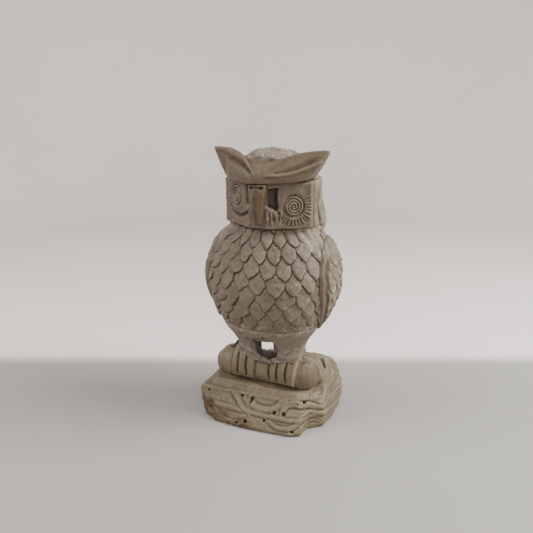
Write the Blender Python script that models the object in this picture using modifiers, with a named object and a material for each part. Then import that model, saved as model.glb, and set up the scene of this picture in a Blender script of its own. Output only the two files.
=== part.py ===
"""Owl on a log: a hand-carved soapstone figurine, 120 mm tall, modelled region by region.

The owl faces -Y, so its own left is +X. The origin is in the middle of the underside, on the
surface that the base stands on. Every length below is in millimetres and becomes metres where
a mesh is made. Neighbouring regions keep GAP between them, along the grooves of the carving.
"""
import math

import bmesh
import bpy
from mathutils import Matrix, Vector

MM = 0.001
GAP = 0.3                      # clear width between two neighbouring regions

# ---- driving dimensions ---------------------------------------------------------------------
HEIGHT = 120.0                 # ground to the tips of the ear tufts
OWL_X = -0.9                   # the bird stands slightly to its right of the base's middle

# Base: a low rock whose front face leans back
BASE_TOP = 13.0
GROUND_OUTLINE = [(-27.0, -18.0), (-20.0, -20.8), (-7.0, -21.3), (14.8, -19.7), (19.4, -17.1),
                  (20.1, -10.1), (26.1, -5.6), (27.2, 3.0), (27.0, 14.0), (21.5, 24.6),
                  (0.0, 26.4), (-20.0, 25.0), (-28.0, 16.0), (-30.0, 0.0)]
TOP_OUTLINE = [(-31.0, -14.0), (-20.0, -14.2), (-7.0, -13.2), (11.0, -12.8), (16.8, -11.4),
               (19.4, -7.8), (24.0, -2.2), (26.0, 7.0), (26.4, 20.0), (22.0, 25.4),
               (0.0, 26.0), (-19.0, 24.4), (-27.6, 15.0), (-31.2, -1.0)]
LEDGE_TOP = 15.8               # the smooth band between the rock and the log
# Banks of rock behind the log, one on each side of the tail: x, front y, back y, top
LEFT_BANK = [(5.4, 10.6, 24.6, 23.4), (14.0, 10.6, 24.4, 23.8), (20.0, 10.6, 23.8, 22.6),
             (22.2, 5.6, 22.6, 20.6), (25.0, 3.4, 19.0, 15.6)]
RIGHT_BANK = [(-7.2, 10.6, 24.2, 20.8), (-14.0, 10.6, 23.6, 19.8), (-21.0, 10.6, 21.6, 17.8),
              (-26.6, 10.6, 14.6, 15.0)]

# Log: lies along X, with domed ends
LOG_RADIUS = 8.9
LOG_CENTRE = (1.0, 21.4)       # y and z of its axis
LOG_ENDS = (-28.6, 21.0)
LOG_DOME = 5.0                 # rounding of the ends
LOG_TAPER = 10.5               # length over which the end on the bird's right thins

# Feet: a pad over the log, with three toes in front of it
FOOT_THICKNESS = 2.0
FOOT_WIDTH = 14.0
RIGHT_TOES = (-16.8, -12.6, -8.2)      # x of each toe
LEFT_TOES = (2.5, 6.6, 10.8)
TOE_WIDTH = 3.8
TOE_THICKNESS = 1.9

# Legs: two short columns with a gap between them that goes right through
LEG_BOTTOM = LOG_CENTRE[1] + LOG_RADIUS + FOOT_THICKNESS + 2 * GAP
LEG_TOP = 41.0
LEG_GAP = 9.4
HOLE_X = 1.1                   # middle of the gap
THIGH_TOP = 46.7

# Body: half-widths at each height, and half-depths as a share of them
BODY_DEPTH = 0.82
BODY_PROFILE = [(LEG_BOTTOM, 14.8), (38.8, 17.0), (42.0, 19.4), (47.0, 22.6), (53.0, 25.6),
                (60.0, 27.7), (68.0, 28.3), (76.0, 26.5), (82.0, 23.8), (86.0, 21.2)]
# y of the body's axis at each height: the belly leans forward
BODY_LEAN = [(LEG_BOTTOM, -0.6), (47.0, -1.8), (60.0, -1.0), (76.0, 0.6), (88.0, 0.8)]
SHOULDER = 86.0                # top of the body

# Wings: shells over the sides of the body, outlined as y and z in the side view
WING_THICKNESS = [(36.0, 0.5), (44.0, 0.7), (54.0, 1.2), (66.0, 1.9), (80.0, 1.7), (88.0, 1.2)]
WING_OUTLINE = [(-11.7, 64.0), (-11.0, 72.0), (-7.2, 79.0), (-1.5, 83.6), (5.0, 84.6), (12.0, 80.8),
                (17.3, 73.0), (18.5, 64.0), (16.6, 55.0), (11.0, 47.0), (4.0, 43.2), (-1.5, 44.4),
                (-6.2, 49.6), (-9.6, 56.0)]

# Tail: a tapering slab behind the legs; height, front y, back y, half-width
TAIL_STATIONS = [(BASE_TOP + GAP, 11.6, 23.6, 4.6), (24.0, 12.0, 22.8, 5.0),
                 (38.0, 14.2, 22.6, 6.4), (50.0, 17.2, 24.0, 7.2), (58.0, 20.4, 25.0, 5.2)]

# Head: two flat face planes that meet in front, flat cheeks and a round back
HEAD_BOTTOM = 90.0
HEAD_TOP = 108.0
HEAD_HALF_WIDTH = 18.8
HEAD_X = -0.4                  # middle of the head
HEAD_SPREAD = (1.05, 0.97)     # the back of the head is wider at the bottom than at the top
FACE_FRONT = 19.0              # how far in front of the axis the face planes would meet
FACE_ANGLE = math.radians(32)
BRIDGE_HALF_WIDTH = 4.0        # flat between the face planes that the beak stands on
HEAD_BACK = 19.2
CHEEK_BACK = 3.0               # y where the flat cheeks turn into the round back
COLLAR_INSET = 1.6             # the collar is set back under the face only
COLLAR_SPREAD = 1.08

# Eyes: ringed discs let into the face planes; x and z of their centres
EYE_RADIUS = 4.7
EYE_DEPTH = 1.1
EYE_CENTRES = {"left_eye": (13.1, 98.8), "right_eye": (-12.4, 101.8)}
EYE_RINGS = 3

# Beak: height, front y and half-width down the bar
BEAK_X = 0.4
BEAK_BACK = 17.0 - GAP
BEAK_STATIONS = [(HEAD_TOP - GAP, -20.6, 3.6), (104.0, -21.6, 3.3), (99.0, -21.8, 2.5),
                 (93.6, -20.2, 1.2)]

# Brow tufts: distance from the middle, lower front y, top y, back y, lowest and highest z
BROW_BOTTOM = HEAD_TOP + GAP
TUFT_STATIONS = [(0.15, -21.4, -20.6, -20.0, BROW_BOTTOM, 112.4),
                 (4.2, -19.6, -16.6, -14.8, BROW_BOTTOM, 115.0),
                 (8.0, -17.4, -12.6, -9.8, BROW_BOTTOM, 117.0),
                 (13.6, -13.8, -8.6, -5.2, BROW_BOTTOM, 118.8),
                 (18.6, -10.6, -5.8, -0.8, 109.4, 119.4),
                 (22.2, -7.9, -5.0, -1.8, 114.4, 119.8),
                 (25.2, -4.6, -4.2, -3.2, 119.3, HEIGHT)]
# the lower front of the right tuft is cut back by this at each place
RIGHT_TUFT_SETBACK = (0.0, 0.0, 0.0, 0.9, 3.6, 2.4, 0.4)
FOREHEAD_FRONT = (-19.3, 112.2)        # y and z of the tip of the facet between the tufts
FOREHEAD_BACK = (-10.0, 115.6)
FOREHEAD_HALF_WIDTH = 7.0

# Crown: a dome behind the brow; radius at each height
CROWN_PROFILE = [(BROW_BOTTOM, 18.6), (111.0, 17.6), (113.8, 15.2), (116.4, 12.3), (118.4, 9.2),
                 (119.5, 5.4), (119.9, 1.2)]
CROWN_CENTRE_Y = 0.6

ROUND_STEPS = 48

# Colours of the stone where it is dusty, polished, worn or raw
BODY_STONE = (0.21, 0.17, 0.135, 1)
POLISHED_STONE = (0.16, 0.12, 0.085, 1)
PALE_STONE = (0.30, 0.27, 0.22, 1)
BASE_STONE = (0.24, 0.19, 0.13, 1)
DARK_STONE = (0.14, 0.12, 0.10, 1)


# ---- scene and helpers ----------------------------------------------------------------------
def clear_scene():
    for thing in list(bpy.data.objects):
        bpy.data.objects.remove(thing, do_unlink=True)


def new_collection(name):
    collection = bpy.data.collections.new(name)
    bpy.context.scene.collection.children.link(collection)
    return collection


def stone(name, colour, roughness):
    material = bpy.data.materials.new(name + "_stone")
    material.use_nodes = True
    shader = material.node_tree.nodes["Principled BSDF"]
    shader.inputs["Base Color"].default_value = colour
    shader.inputs["Roughness"].default_value = roughness
    shader.inputs["Metallic"].default_value = 0.0
    return material


def add_object(name, mesh, collection):
    thing = bpy.data.objects.new(name, mesh)
    collection.objects.link(thing)
    return thing


def add_region(name, mesh, colour, roughness=0.65):
    """A node of the owl, in its own colour, shaded smooth up to the carved edges."""
    region = add_object(name, mesh, OWL)
    mesh.materials.clear()
    mesh.materials.append(stone(name, colour, roughness))
    mesh.shade_smooth()
    mesh.set_sharp_from_angle(angle=math.radians(35))
    return region


def add_cutter(name, mesh):
    cutter = add_object(name, mesh, CUTTERS)
    cutter.hide_render = True
    cutter.display_type = "WIRE"
    return cutter


def cut(region, cutter, operation="DIFFERENCE"):
    modifier = region.modifiers.new(cutter.name, "BOOLEAN")
    modifier.operation = operation
    modifier.object = cutter


def finished_mesh(source):
    """The evaluated mesh of a helper object, which is removed."""
    evaluated = source.evaluated_get(bpy.context.evaluated_depsgraph_get())
    mesh = bpy.data.meshes.new_from_object(evaluated)
    mesh.transform(source.matrix_world)
    bpy.data.objects.remove(source, do_unlink=True)
    return mesh


def edit(mesh, change):
    """Runs one bmesh change on a mesh, then faces it outwards."""
    bm = bmesh.new()
    bm.from_mesh(mesh)
    change(bm)
    bmesh.ops.remove_doubles(bm, verts=bm.verts, dist=0.00001)
    bmesh.ops.recalc_face_normals(bm, faces=bm.faces)
    bm.to_mesh(mesh)
    bm.free()
    return mesh


def keep_side(mesh, point, normal):
    """Cuts a closed mesh with a plane, keeps the side that the normal points to, and closes it."""
    def change(bm):
        geometry = bm.verts[:] + bm.edges[:] + bm.faces[:]
        cut_line = bmesh.ops.bisect_plane(bm, geom=geometry, plane_co=Vector(point) * MM,
                                          plane_no=Vector(normal), clear_inner=True)
        rim = [item for item in cut_line["geom_cut"] if isinstance(item, bmesh.types.BMEdge)]
        bmesh.ops.holes_fill(bm, edges=rim)
    return edit(mesh, change)


def smooth_value(points, position):
    """Reads a smooth line through (position, value) points."""
    places = [place for place, _ in points]
    values = [value for _, value in points]
    last = len(points) - 1
    index = min(max(sum(position >= place for place in places) - 1, 0), last - 1)

    def slope(i):
        low, high = max(i - 1, 0), min(i + 1, last)
        return (values[high] - values[low]) / (places[high] - places[low])

    span = places[index + 1] - places[index]
    t = (position - places[index]) / span
    return ((2 * t ** 3 - 3 * t ** 2 + 1) * values[index]
            + (t ** 3 - 2 * t ** 2 + t) * span * slope(index)
            + (3 * t ** 2 - 2 * t ** 3) * values[index + 1]
            + (t ** 3 - t ** 2) * span * slope(index + 1))


def turned_mesh(profile, depth=1.0, centre=(0.0, 0.0), steps=ROUND_STEPS):
    """Turns a (height, radius) profile about Z with Screw, then flattens it along Y."""
    outline = [(0.0, profile[-1][0])] + [(r, z) for z, r in reversed(profile)]
    outline.append((0.0, profile[0][0]))
    mesh = bpy.data.meshes.new("profile")
    mesh.from_pydata([(r * MM, 0, z * MM) for r, z in outline],
                     [(i, i + 1) for i in range(len(outline) - 1)], [])
    helper = add_object("profile", mesh, CUTTERS)
    screw = helper.modifiers.new("turn", "SCREW")
    screw.steps = screw.render_steps = steps
    screw.use_merge_vertices = True
    screw.merge_threshold = 0.00001
    solid = finished_mesh(helper)
    middle = Vector((centre[0], centre[1], 0)) * MM
    solid.transform(Matrix.Translation(middle) @ Matrix.Diagonal((1, depth, 1, 1)))
    return edit(solid, lambda bm: None)


def prism_mesh(outline, bottom, top):
    """A flat outline in X and Y, as a 2D curve extruded from bottom to top."""
    curve = bpy.data.curves.new("outline", "CURVE")
    curve.dimensions = "2D"
    curve.fill_mode = "BOTH"
    curve.extrude = (top - bottom) / 2 * MM
    spline = curve.splines.new("POLY")
    spline.points.add(len(outline) - 1)
    spline.use_cyclic_u = True
    for point, (x, y) in zip(spline.points, outline):
        point.co = (x * MM, y * MM, 0, 1)
    helper = add_object("outline", curve, CUTTERS)
    helper.location.z = (bottom + top) / 2 * MM
    bpy.context.view_layer.update()
    return edit(finished_mesh(helper), lambda bm: None)


def loft_mesh(sections):
    """Joins unlike sections, each a list of the same number of points, and closes both ends."""
    bm = bmesh.new()
    rings = [[bm.verts.new(Vector(point) * MM) for point in section] for section in sections]
    count = len(rings[0])
    for lower, upper in zip(rings, rings[1:]):
        for i in range(count):
            j = (i + 1) % count
            bm.faces.new((lower[i], lower[j], upper[j], upper[i]))
    bm.faces.new(reversed(rings[0]))
    bm.faces.new(rings[-1])
    bmesh.ops.triangulate(bm, faces=[face for face in bm.faces if len(face.verts) > 4])
    bmesh.ops.recalc_face_normals(bm, faces=bm.faces)
    mesh = bpy.data.meshes.new("loft")
    bm.to_mesh(mesh)
    bm.free()
    return mesh


def mirrored(mesh):
    """The same shape on the other side of the bird's middle plane."""
    other = mesh.copy()
    other.transform(Matrix.Translation((2 * OWL_X * MM, 0, 0)) @ Matrix.Diagonal((-1, 1, 1, 1)))
    other.flip_normals()
    return other


def moved_to(mesh, x):
    """Moves a shape drawn about x = 0 sideways."""
    mesh.transform(Matrix.Translation((x * MM, 0, 0)))
    return mesh


def round_log_mesh(centre_x, width, inner, outer, start, end, steps=10):
    """A band wrapped round the log, by spinning its section about the log's axis."""
    bm = bmesh.new()
    axis = Vector((0, LOG_CENTRE[0], LOG_CENTRE[1])) * MM
    middle = axis + Vector((centre_x, 0, (inner + outer) / 2)) * MM
    section = bmesh.ops.create_circle(bm, cap_ends=True, segments=12, radius=0.5 * MM)
    size = Matrix.Diagonal((width, outer - inner, 1, 1))
    stand = Matrix.Rotation(math.radians(90), 4, "X")
    bmesh.ops.transform(bm, matrix=Matrix.Translation(middle) @ stand @ size,
                        verts=section["verts"])
    bmesh.ops.rotate(bm, cent=axis, matrix=Matrix.Rotation(start, 3, "X"), verts=bm.verts)
    bmesh.ops.spin(bm, geom=bm.faces[:], cent=axis, axis=(1, 0, 0), angle=end - start,
                   steps=steps)
    mesh = bpy.data.meshes.new("band")
    bm.to_mesh(mesh)
    bm.free()
    return edit(mesh, lambda bm: None)


# ---- base and log ---------------------------------------------------------------------------
def make_base():
    def ring(outline, height, grow=1.0):
        return [(x * grow, y * grow, height) for x, y in outline]

    middle = [tuple((a + b) / 2 for a, b in zip(low, high))
              for low, high in zip(GROUND_OUTLINE, TOP_OUTLINE)]
    mesh = loft_mesh([ring(GROUND_OUTLINE, 0.0, 0.97), ring(GROUND_OUTLINE, 1.6),
                      ring(middle, BASE_TOP * 0.55, 1.02), ring(TOP_OUTLINE, BASE_TOP - 1.4),
                      ring(TOP_OUTLINE, BASE_TOP, 0.97)])
    add_region("base_rock", mesh, BASE_STONE)


def make_ledge():
    left, right = LOG_ENDS[0] - 0.4, LOG_ENDS[1] - 1.4
    back = LOG_CENTRE[0] + LOG_RADIUS

    def outline(front, inset, height):
        return [(left + inset, back, height), (left + inset, front + 3, height),
                (left + inset + 3, front, height), (right - inset - 4, front, height),
                (right - inset, front + 4, height), (right - inset, back, height)]

    mesh = loft_mesh([outline(-11.8, 0.0, BASE_TOP + GAP), outline(-9.6, 1.0, LEDGE_TOP)])
    add_region("log_ledge", mesh, BODY_STONE)


def log_mesh(grow=0.0):
    """A cylinder along X with domed ends, wider all round by grow."""
    radius = LOG_RADIUS + grow
    left, right = LOG_ENDS[0] - grow, LOG_ENDS[1] + grow
    start = [(left, 0.05), (left + 0.6, 3.8), (left + 2.2, 6.2), (left + LOG_DOME, radius - 1.3),
             (left + LOG_TAPER, radius)]
    end = [(right - LOG_DOME - 3, radius), (right - LOG_DOME, radius - 0.5), (right - 2.2, 6.9),
           (right - 0.6, 4.2), (right, 0.05)]
    mesh = turned_mesh(start + end, steps=40)
    lay_down = Matrix.Rotation(math.radians(90), 4, "Y")
    mesh.transform(Matrix.Translation((0, LOG_CENTRE[0] * MM, LOG_CENTRE[1] * MM)) @ lay_down)
    return mesh


def make_banks():
    def section(x, front, back, top):
        return [(x, front, BASE_TOP + GAP), (x, front, top - 1.6), (x, front + 2.0, top),
                (x, back - (back - front) * 0.45, top - 1.2), (x, back - 0.6, top * 0.5 + 8.0),
                (x, back, BASE_TOP + GAP)]

    for name, stations in (("left_bank", LEFT_BANK), ("right_bank", RIGHT_BANK)):
        mesh = loft_mesh([section(*station) for station in stations])
        add_region(name, mesh, BASE_STONE)


def make_log():
    mesh = keep_side(log_mesh(), (0, 0, LEDGE_TOP + GAP), (0, 0, 1))
    add_region("perch_log", mesh, BASE_STONE, 0.5)


# ---- feet and legs --------------------------------------------------------------------------
def make_feet():
    inner = LOG_RADIUS + GAP
    pad_start, pad_end = math.radians(-22), math.radians(34)
    toe_start, toe_end = math.radians(37), math.radians(112)
    for side, toes in (("right", RIGHT_TOES), ("left", LEFT_TOES)):
        pad = round_log_mesh(toes[1], FOOT_WIDTH, inner, inner + FOOT_THICKNESS,
                             pad_start, pad_end, steps=6)
        add_region(side + "_foot", pad, BODY_STONE)
        for number, x in enumerate(toes, start=1):
            toe = round_log_mesh(x, TOE_WIDTH, inner, inner + TOE_THICKNESS, toe_start, toe_end)
            add_region(f"{side}_toe_{number}", toe, BASE_STONE, 0.5)


def body_mesh(bottom, top, grow=0.0, rings=5, layer=None):
    """A slice of the egg-shaped body with the belly leaning forward.

    It is wider all round by grow, and by the layer's thickness at each height.
    """
    heights = [bottom + (top - bottom) * i / rings for i in range(rings + 1)]
    profile = [(z, smooth_value(BODY_PROFILE, z) + grow) for z in heights]
    if layer:
        profile = [(z, radius + smooth_value(layer, z)) for z, radius in profile]
    mesh = turned_mesh(profile, BODY_DEPTH, (OWL_X, 0.0))
    for vertex in mesh.vertices:
        vertex.co.y += smooth_value(BODY_LEAN, vertex.co.z / MM) * MM
    return mesh


def make_legs():
    half_gap = LEG_GAP / 2
    for side, sign in (("left", 1), ("right", -1)):
        leg = keep_side(body_mesh(LEG_BOTTOM, LEG_TOP, rings=2), (sign * half_gap + HOLE_X, 0, 0),
                        (sign, 0, 0))
        add_region(side + "_leg", leg, BODY_STONE)
        thigh = keep_side(body_mesh(LEG_TOP + GAP, THIGH_TOP, rings=3),
                          (sign * GAP / 2 + HOLE_X, 0, 0), (sign, 0, 0))
        add_region(side + "_thigh", thigh, BODY_STONE)


# ---- body -----------------------------------------------------------------------------------
def make_body():
    bottom = THIGH_TOP + GAP
    for name, facing in (("breast", -1), ("back", 1)):
        half = keep_side(body_mesh(bottom, SHOULDER, rings=13),
                         (0, facing * GAP / 2, 0), (0, facing, 0))
        add_region(name, half, BODY_STONE)


def make_wings():
    reach = 40.0
    outline = prism_mesh([(y, z) for y, z in WING_OUTLINE], 8.0, reach)
    turn = Matrix(((0, 0, 1, 0), (1, 0, 0, 0), (0, 1, 0, 0), (0, 0, 0, 1)))
    outline.transform(turn)
    hollow = add_cutter("body_under_wings", body_mesh(36.0, SHOULDER + 2, GAP, rings=16))
    for name, cutter_mesh in (("left_wing", outline), ("right_wing", mirrored(outline))):
        shell = body_mesh(37.0, SHOULDER, GAP, rings=16, layer=WING_THICKNESS)
        wing = add_region(name, shell, PALE_STONE)
        cut(wing, add_cutter(name + "_outline", cutter_mesh), "INTERSECT")
        cut(wing, hollow)


def make_tail():
    def section(height, front, back, half_width):
        return [(-half_width, front, height), (half_width, front, height),
                (half_width, back - 1.5, height), (half_width - 2.5, back, height),
                (2.5 - half_width, back, height), (-half_width, back - 1.5, height)]

    mesh = loft_mesh([section(*station) for station in TAIL_STATIONS])
    tail = add_region("tail", moved_to(mesh, OWL_X), BODY_STONE)
    cut(tail, add_cutter("body_before_tail", body_mesh(LEG_BOTTOM, SHOULDER, GAP, rings=12)))


# ---- head -----------------------------------------------------------------------------------
def head_outline(inset=0.0, spread=1.0):
    """Flat face planes on both sides of the bridge, flat cheeks and a half-ellipse behind."""
    slope = math.tan(FACE_ANGLE)
    half = HEAD_HALF_WIDTH - inset
    front = FACE_FRONT - inset
    bridge = BRIDGE_HALF_WIDTH
    side = HEAD_HALF_WIDTH * spread
    depth = HEAD_BACK * spread - CHEEK_BACK
    left = [(bridge, bridge * slope - front), (half, half * slope - front), (side, CHEEK_BACK)]
    arc = []
    steps = 12
    for step in range(1, steps):
        angle = math.pi * step / steps
        arc.append((side * math.cos(angle), CHEEK_BACK + depth * math.sin(angle)))
    right = [(-x, y) for x, y in reversed(left)]
    return [(x + HEAD_X, y) for x, y in left + arc + right]


def face_frame(x, z):
    """The point on a face plane at x and z, and the turn that faces away from that plane."""
    y = abs(x - HEAD_X) * math.tan(FACE_ANGLE) - FACE_FRONT
    side = math.copysign(1, x)
    turn = Matrix.Rotation(side * FACE_ANGLE, 4, "Z") @ Matrix.Rotation(math.radians(90), 4, "X")
    return Matrix.Translation(Vector((x, y, z)) * MM) @ turn


def eye_profile():
    """A domed disc with one raised ring for each step outwards."""
    points = [(-EYE_DEPTH, EYE_RADIUS)]
    pitch = EYE_RADIUS / EYE_RINGS
    for ring in range(EYE_RINGS, 0, -1):
        outer = ring * pitch
        points += [(0.15, outer), (0.6, outer - 0.25 * pitch), (0.6, outer - 0.55 * pitch),
                   (0.1, outer - 0.8 * pitch)]
    return points


def make_head():
    ends = zip((HEAD_BOTTOM, HEAD_TOP), HEAD_SPREAD)
    mesh = loft_mesh([[(x, y, z) for x, y in head_outline(spread=spread)] for z, spread in ends])
    head = add_region("head", mesh, BODY_STONE)
    for name, (x, z) in EYE_CENTRES.items():
        place = face_frame(x, z)
        socket = turned_mesh([(-EYE_DEPTH - GAP, EYE_RADIUS + GAP), (4.0, EYE_RADIUS + GAP)],
                             steps=32)
        socket.transform(place)
        cut(head, add_cutter(name + "_socket", socket))
        eye = turned_mesh(eye_profile(), steps=32)
        eye.transform(place)
        add_region(name, eye, DARK_STONE)


def make_collar():
    outline = head_outline(COLLAR_INSET, COLLAR_SPREAD)
    mesh = prism_mesh(outline, SHOULDER + GAP, HEAD_BOTTOM - GAP)
    add_region("neck_collar", mesh, BODY_STONE)


def make_beak():
    sections = [[(-half, -BEAK_BACK, z), (half, -BEAK_BACK, z), (half, front + 1.2, z),
                 (half * 0.4, front, z), (-half * 0.4, front, z), (-half, front + 1.2, z)]
                for z, front, half in BEAK_STATIONS]
    add_region("beak", moved_to(loft_mesh(sections), BEAK_X), POLISHED_STONE, 0.45)


def make_brow():
    def section(x, front, top, back, low, high):
        rise = (high - low) * 0.45
        return [(x, front, low), (x, front + 0.5, low + rise), (x, top, high), (x, back, high),
                (x, back, low)]

    left = [section(*station) for station in TUFT_STATIONS]
    right = [section(x, front + setback, *others)
             for (x, front, *others), setback in zip(TUFT_STATIONS, RIGHT_TUFT_SETBACK)]
    add_region("left_brow_tuft", moved_to(loft_mesh(left), OWL_X), POLISHED_STONE, 0.45)
    add_region("right_brow_tuft", mirrored(moved_to(loft_mesh(right), OWL_X)), POLISHED_STONE, 0.45)

    front_y, front_z = FOREHEAD_FRONT
    back_y, back_z = FOREHEAD_BACK
    half = FOREHEAD_HALF_WIDTH
    plan = [(0.0, front_y), (half, back_y), (-half, back_y)]
    facet = loft_mesh([[(x, y, BROW_BOTTOM) for x, y in plan],
                       [(0.0, front_y, front_z), (half, back_y, back_z), (-half, back_y, back_z)]])
    add_region("forehead", moved_to(facet, OWL_X), POLISHED_STONE, 0.45)


def make_crown():
    mesh = turned_mesh(CROWN_PROFILE, centre=(0.0, CROWN_CENTRE_Y))
    back_y = FOREHEAD_BACK[0] + GAP
    mesh = keep_side(mesh, (0, back_y, 0), (0, 1, 0))
    inner, outer = TUFT_STATIONS[2], TUFT_STATIONS[4]
    run, rise = outer[0] - inner[0], outer[3] - inner[3]
    length = math.hypot(run, rise)
    for side in (1, -1):
        normal = Vector((-side * rise / length, run / length, 0))
        point = Vector((side * inner[0], inner[3], 0)) + normal * GAP
        mesh = keep_side(mesh, point, normal)
    add_region("crown", moved_to(mesh, OWL_X), PALE_STONE, 0.85)


# ---- the owl --------------------------------------------------------------------------------
clear_scene()
OWL = new_collection("owl_figurine")
CUTTERS = new_collection("cutters")

make_base()
make_ledge()
make_log()
make_banks()
make_feet()
make_legs()
make_body()
make_wings()
make_tail()
make_head()
make_collar()
make_beak()
make_brow()
make_crown()
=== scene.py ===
import itertools
import math

import bmesh
import bpy
import numpy as np
from mathutils import Matrix, Vector


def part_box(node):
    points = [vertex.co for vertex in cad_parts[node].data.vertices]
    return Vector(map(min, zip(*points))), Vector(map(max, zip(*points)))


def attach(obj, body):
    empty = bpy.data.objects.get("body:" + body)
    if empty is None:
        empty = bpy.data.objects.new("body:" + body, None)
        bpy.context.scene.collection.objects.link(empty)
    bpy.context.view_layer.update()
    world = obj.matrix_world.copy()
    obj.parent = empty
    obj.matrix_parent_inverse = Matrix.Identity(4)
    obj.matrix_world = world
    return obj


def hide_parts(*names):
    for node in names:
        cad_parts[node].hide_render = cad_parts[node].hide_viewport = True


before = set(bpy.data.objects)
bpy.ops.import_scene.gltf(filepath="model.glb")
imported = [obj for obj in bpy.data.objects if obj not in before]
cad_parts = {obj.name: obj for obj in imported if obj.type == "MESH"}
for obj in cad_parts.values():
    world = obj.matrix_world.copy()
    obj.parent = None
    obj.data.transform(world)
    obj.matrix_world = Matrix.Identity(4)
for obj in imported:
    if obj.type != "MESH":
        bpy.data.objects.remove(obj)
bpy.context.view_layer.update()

MM = 0.001
WELD_DISTANCE = 1e-6
SWELL = 0.2  # closes the gaps between nodes that are carved as one
SIDES = {"left": 1, "right": -1}  # the bird's own left is towards +X


# ---- places in the frame, millimetres
def box(node):
    """Lowest and highest corner of a CAD node."""
    low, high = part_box(node)
    return np.array(low) / MM, np.array(high) / MM


def middle(node):
    """Middle of a CAD node's box."""
    low, high = box(node)
    return (low + high) / 2


OWL_X = middle("breast")[0]
BREAST_BOTTOM, BREAST_TOP = box("breast")[0][2], box("breast")[1][2]
HEAD_X = middle("head")[0]
CHIN, BROW = box("head")[0][2], box("head")[1][2]
LOG_Y, LOG_Z = middle("perch_log")[1:]
LOG_START = box("perch_log")[0][0]

BODY_DEPTH = 0.82  # depth over width of the body
BODY_MIDDLE_Y = -0.6
FACE_ANGLE = math.radians(32)  # each side of the face turns back by this

# feathers of the body
FEATHERS_ROUND = 23
TIP_HEIGHTS = (94.3, 88.3, 82.3, 76.4, 70.4, 64.4, 58.4, 53.4, 48.6, 44.0, 39.4)
FEATHER_STEP = 1.3  # a feather's tip stands this far over its root
FEATHER_WIDE, FEATHER_LONG = 7.4, 6.0
FEATHER_SINK = 0.7  # the carving starts this far under the CAD surface
STRAND_PITCH = 1.9  # hair-like strands on the neck and the sides of the head


# ---- small maths
def fade(x, low, high):
    """0 below low, 1 above high, smooth between. Falls instead where low is over high."""
    t = np.clip((x - low) / (high - low), 0, 1)
    return t * t * (3 - 2 * t)


def bell(x, width):
    """1 at 0, falling away over width."""
    return np.exp(-(x / width) ** 2)


def scatter(cell, seed):
    """A fixed random number from -1 to 1 for each row of whole numbers."""
    h = np.full(len(cell), seed * 2654435761 % 4294967296, dtype=np.int64)
    for axis, prime in zip(range(cell.shape[1]), (73856093, 19349663, 83492791)):
        h ^= cell[:, axis].astype(np.int64) * prime
    h = (h ^ (h >> 13)) * 1274126177
    h ^= h >> 16
    return (h & 0xFFFF) / 32767.5 - 1


def grain(p, size, seed=0):
    """Smooth noise from -1 to 1, with bumps about size across. Seeds only tell the noises apart."""
    q = p / size
    cell = np.floor(q).astype(np.int64)
    f = q - cell
    f = f * f * (3 - 2 * f)
    total = np.zeros(len(p))
    for corner in itertools.product((0, 1), repeat=p.shape[1]):
        share = np.prod(np.where(corner, f, 1 - f), axis=1)
        total += share * scatter(cell + np.array(corner), seed)
    return total


def grains(p, size, seed=0):
    """Noise of three sizes together."""
    return (grain(p, size, seed) + grain(p, size / 2.1, seed + 1) / 2
            + grain(p, size / 4.3, seed + 2) / 4) / 1.5


def patches(p, size, seed, low, high):
    """Patches about size across: 0 where the noise is under low, 1 where it is over high."""
    return fade(grain(p, size, seed), low, high)


def pits(p, spacing, radius, seed=0):
    """1 in the middle of scattered round pits, 0 outside them."""
    cell = np.floor(p / spacing).astype(np.int64)
    deepest = np.zeros(len(p))
    for step in itertools.product((-1, 0, 1), repeat=p.shape[1]):
        near = cell + np.array(step)
        centre = np.stack([scatter(near, seed + k) for k in range(p.shape[1])], axis=1)
        centre = (near + 0.5 + centre * 0.38) * spacing
        size = radius * (1 + 0.45 * scatter(near, seed + 9))
        far = np.linalg.norm(p - centre, axis=1)
        deepest = np.maximum(deepest, fade(far, size, size * 0.35))
    return deepest


def off_line(q, points):
    """Distance of each row of q from a line through points, and how far along it that is, 0 to 1."""
    points = np.array(points, dtype=float)
    length = np.linalg.norm(np.diff(points, axis=0), axis=1)
    start = np.concatenate([[0], np.cumsum(length)])
    best, along = np.full(len(q), 1e9), np.zeros(len(q))
    for a, b, size, begin in zip(points, points[1:], length, start):
        t = np.clip((q - a) @ (b - a) / size ** 2, 0, 1)
        far = np.linalg.norm(q - a - t[:, None] * (b - a), axis=1)
        along = np.where(far < best, (begin + t * size) / start[-1], along)
        best = np.minimum(best, far)
    return best, along


def curve(points, steps=6):
    """A smooth line through points."""
    p = np.array(points, dtype=float)
    p = np.concatenate([[2 * p[0] - p[1]], p, [2 * p[-1] - p[-2]]])
    out = []
    for a, b, c, d in zip(p, p[1:], p[2:], p[3:]):
        for t in np.arange(steps) / steps:
            out.append(b + t / 2 * (c - a + t * (2 * a - 5 * b + 4 * c - d
                                                 + t * (3 * (b - c) + d - a))))
    return out + [p[-2]]


def stroke(q, points, width, taper=0.0):
    """1 along a smooth line through points, falling away over width. The ends thin out by taper."""
    far, along = off_line(q, curve(points))
    ends = 1 - taper * (2 * np.abs(along - 0.5)) ** 3
    return bell(far, width * ends) * ends


# ---- a CAD node as a fine mesh to carve
def placed(name, data):
    """A new object in the scene."""
    made = bpy.data.objects.new(name, data)
    bpy.context.scene.collection.objects.link(made)
    return made


# how hollow a point is: rounds of evening out to compare with, millimetres that count in full, share
HOLLOWS = ((3, 0.06, 0.45), (26, 0.3, 0.55))
MARKS = ("dust", "tone", "barbs", "barb_depth", "rough", "green", "soot", "brown")


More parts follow.
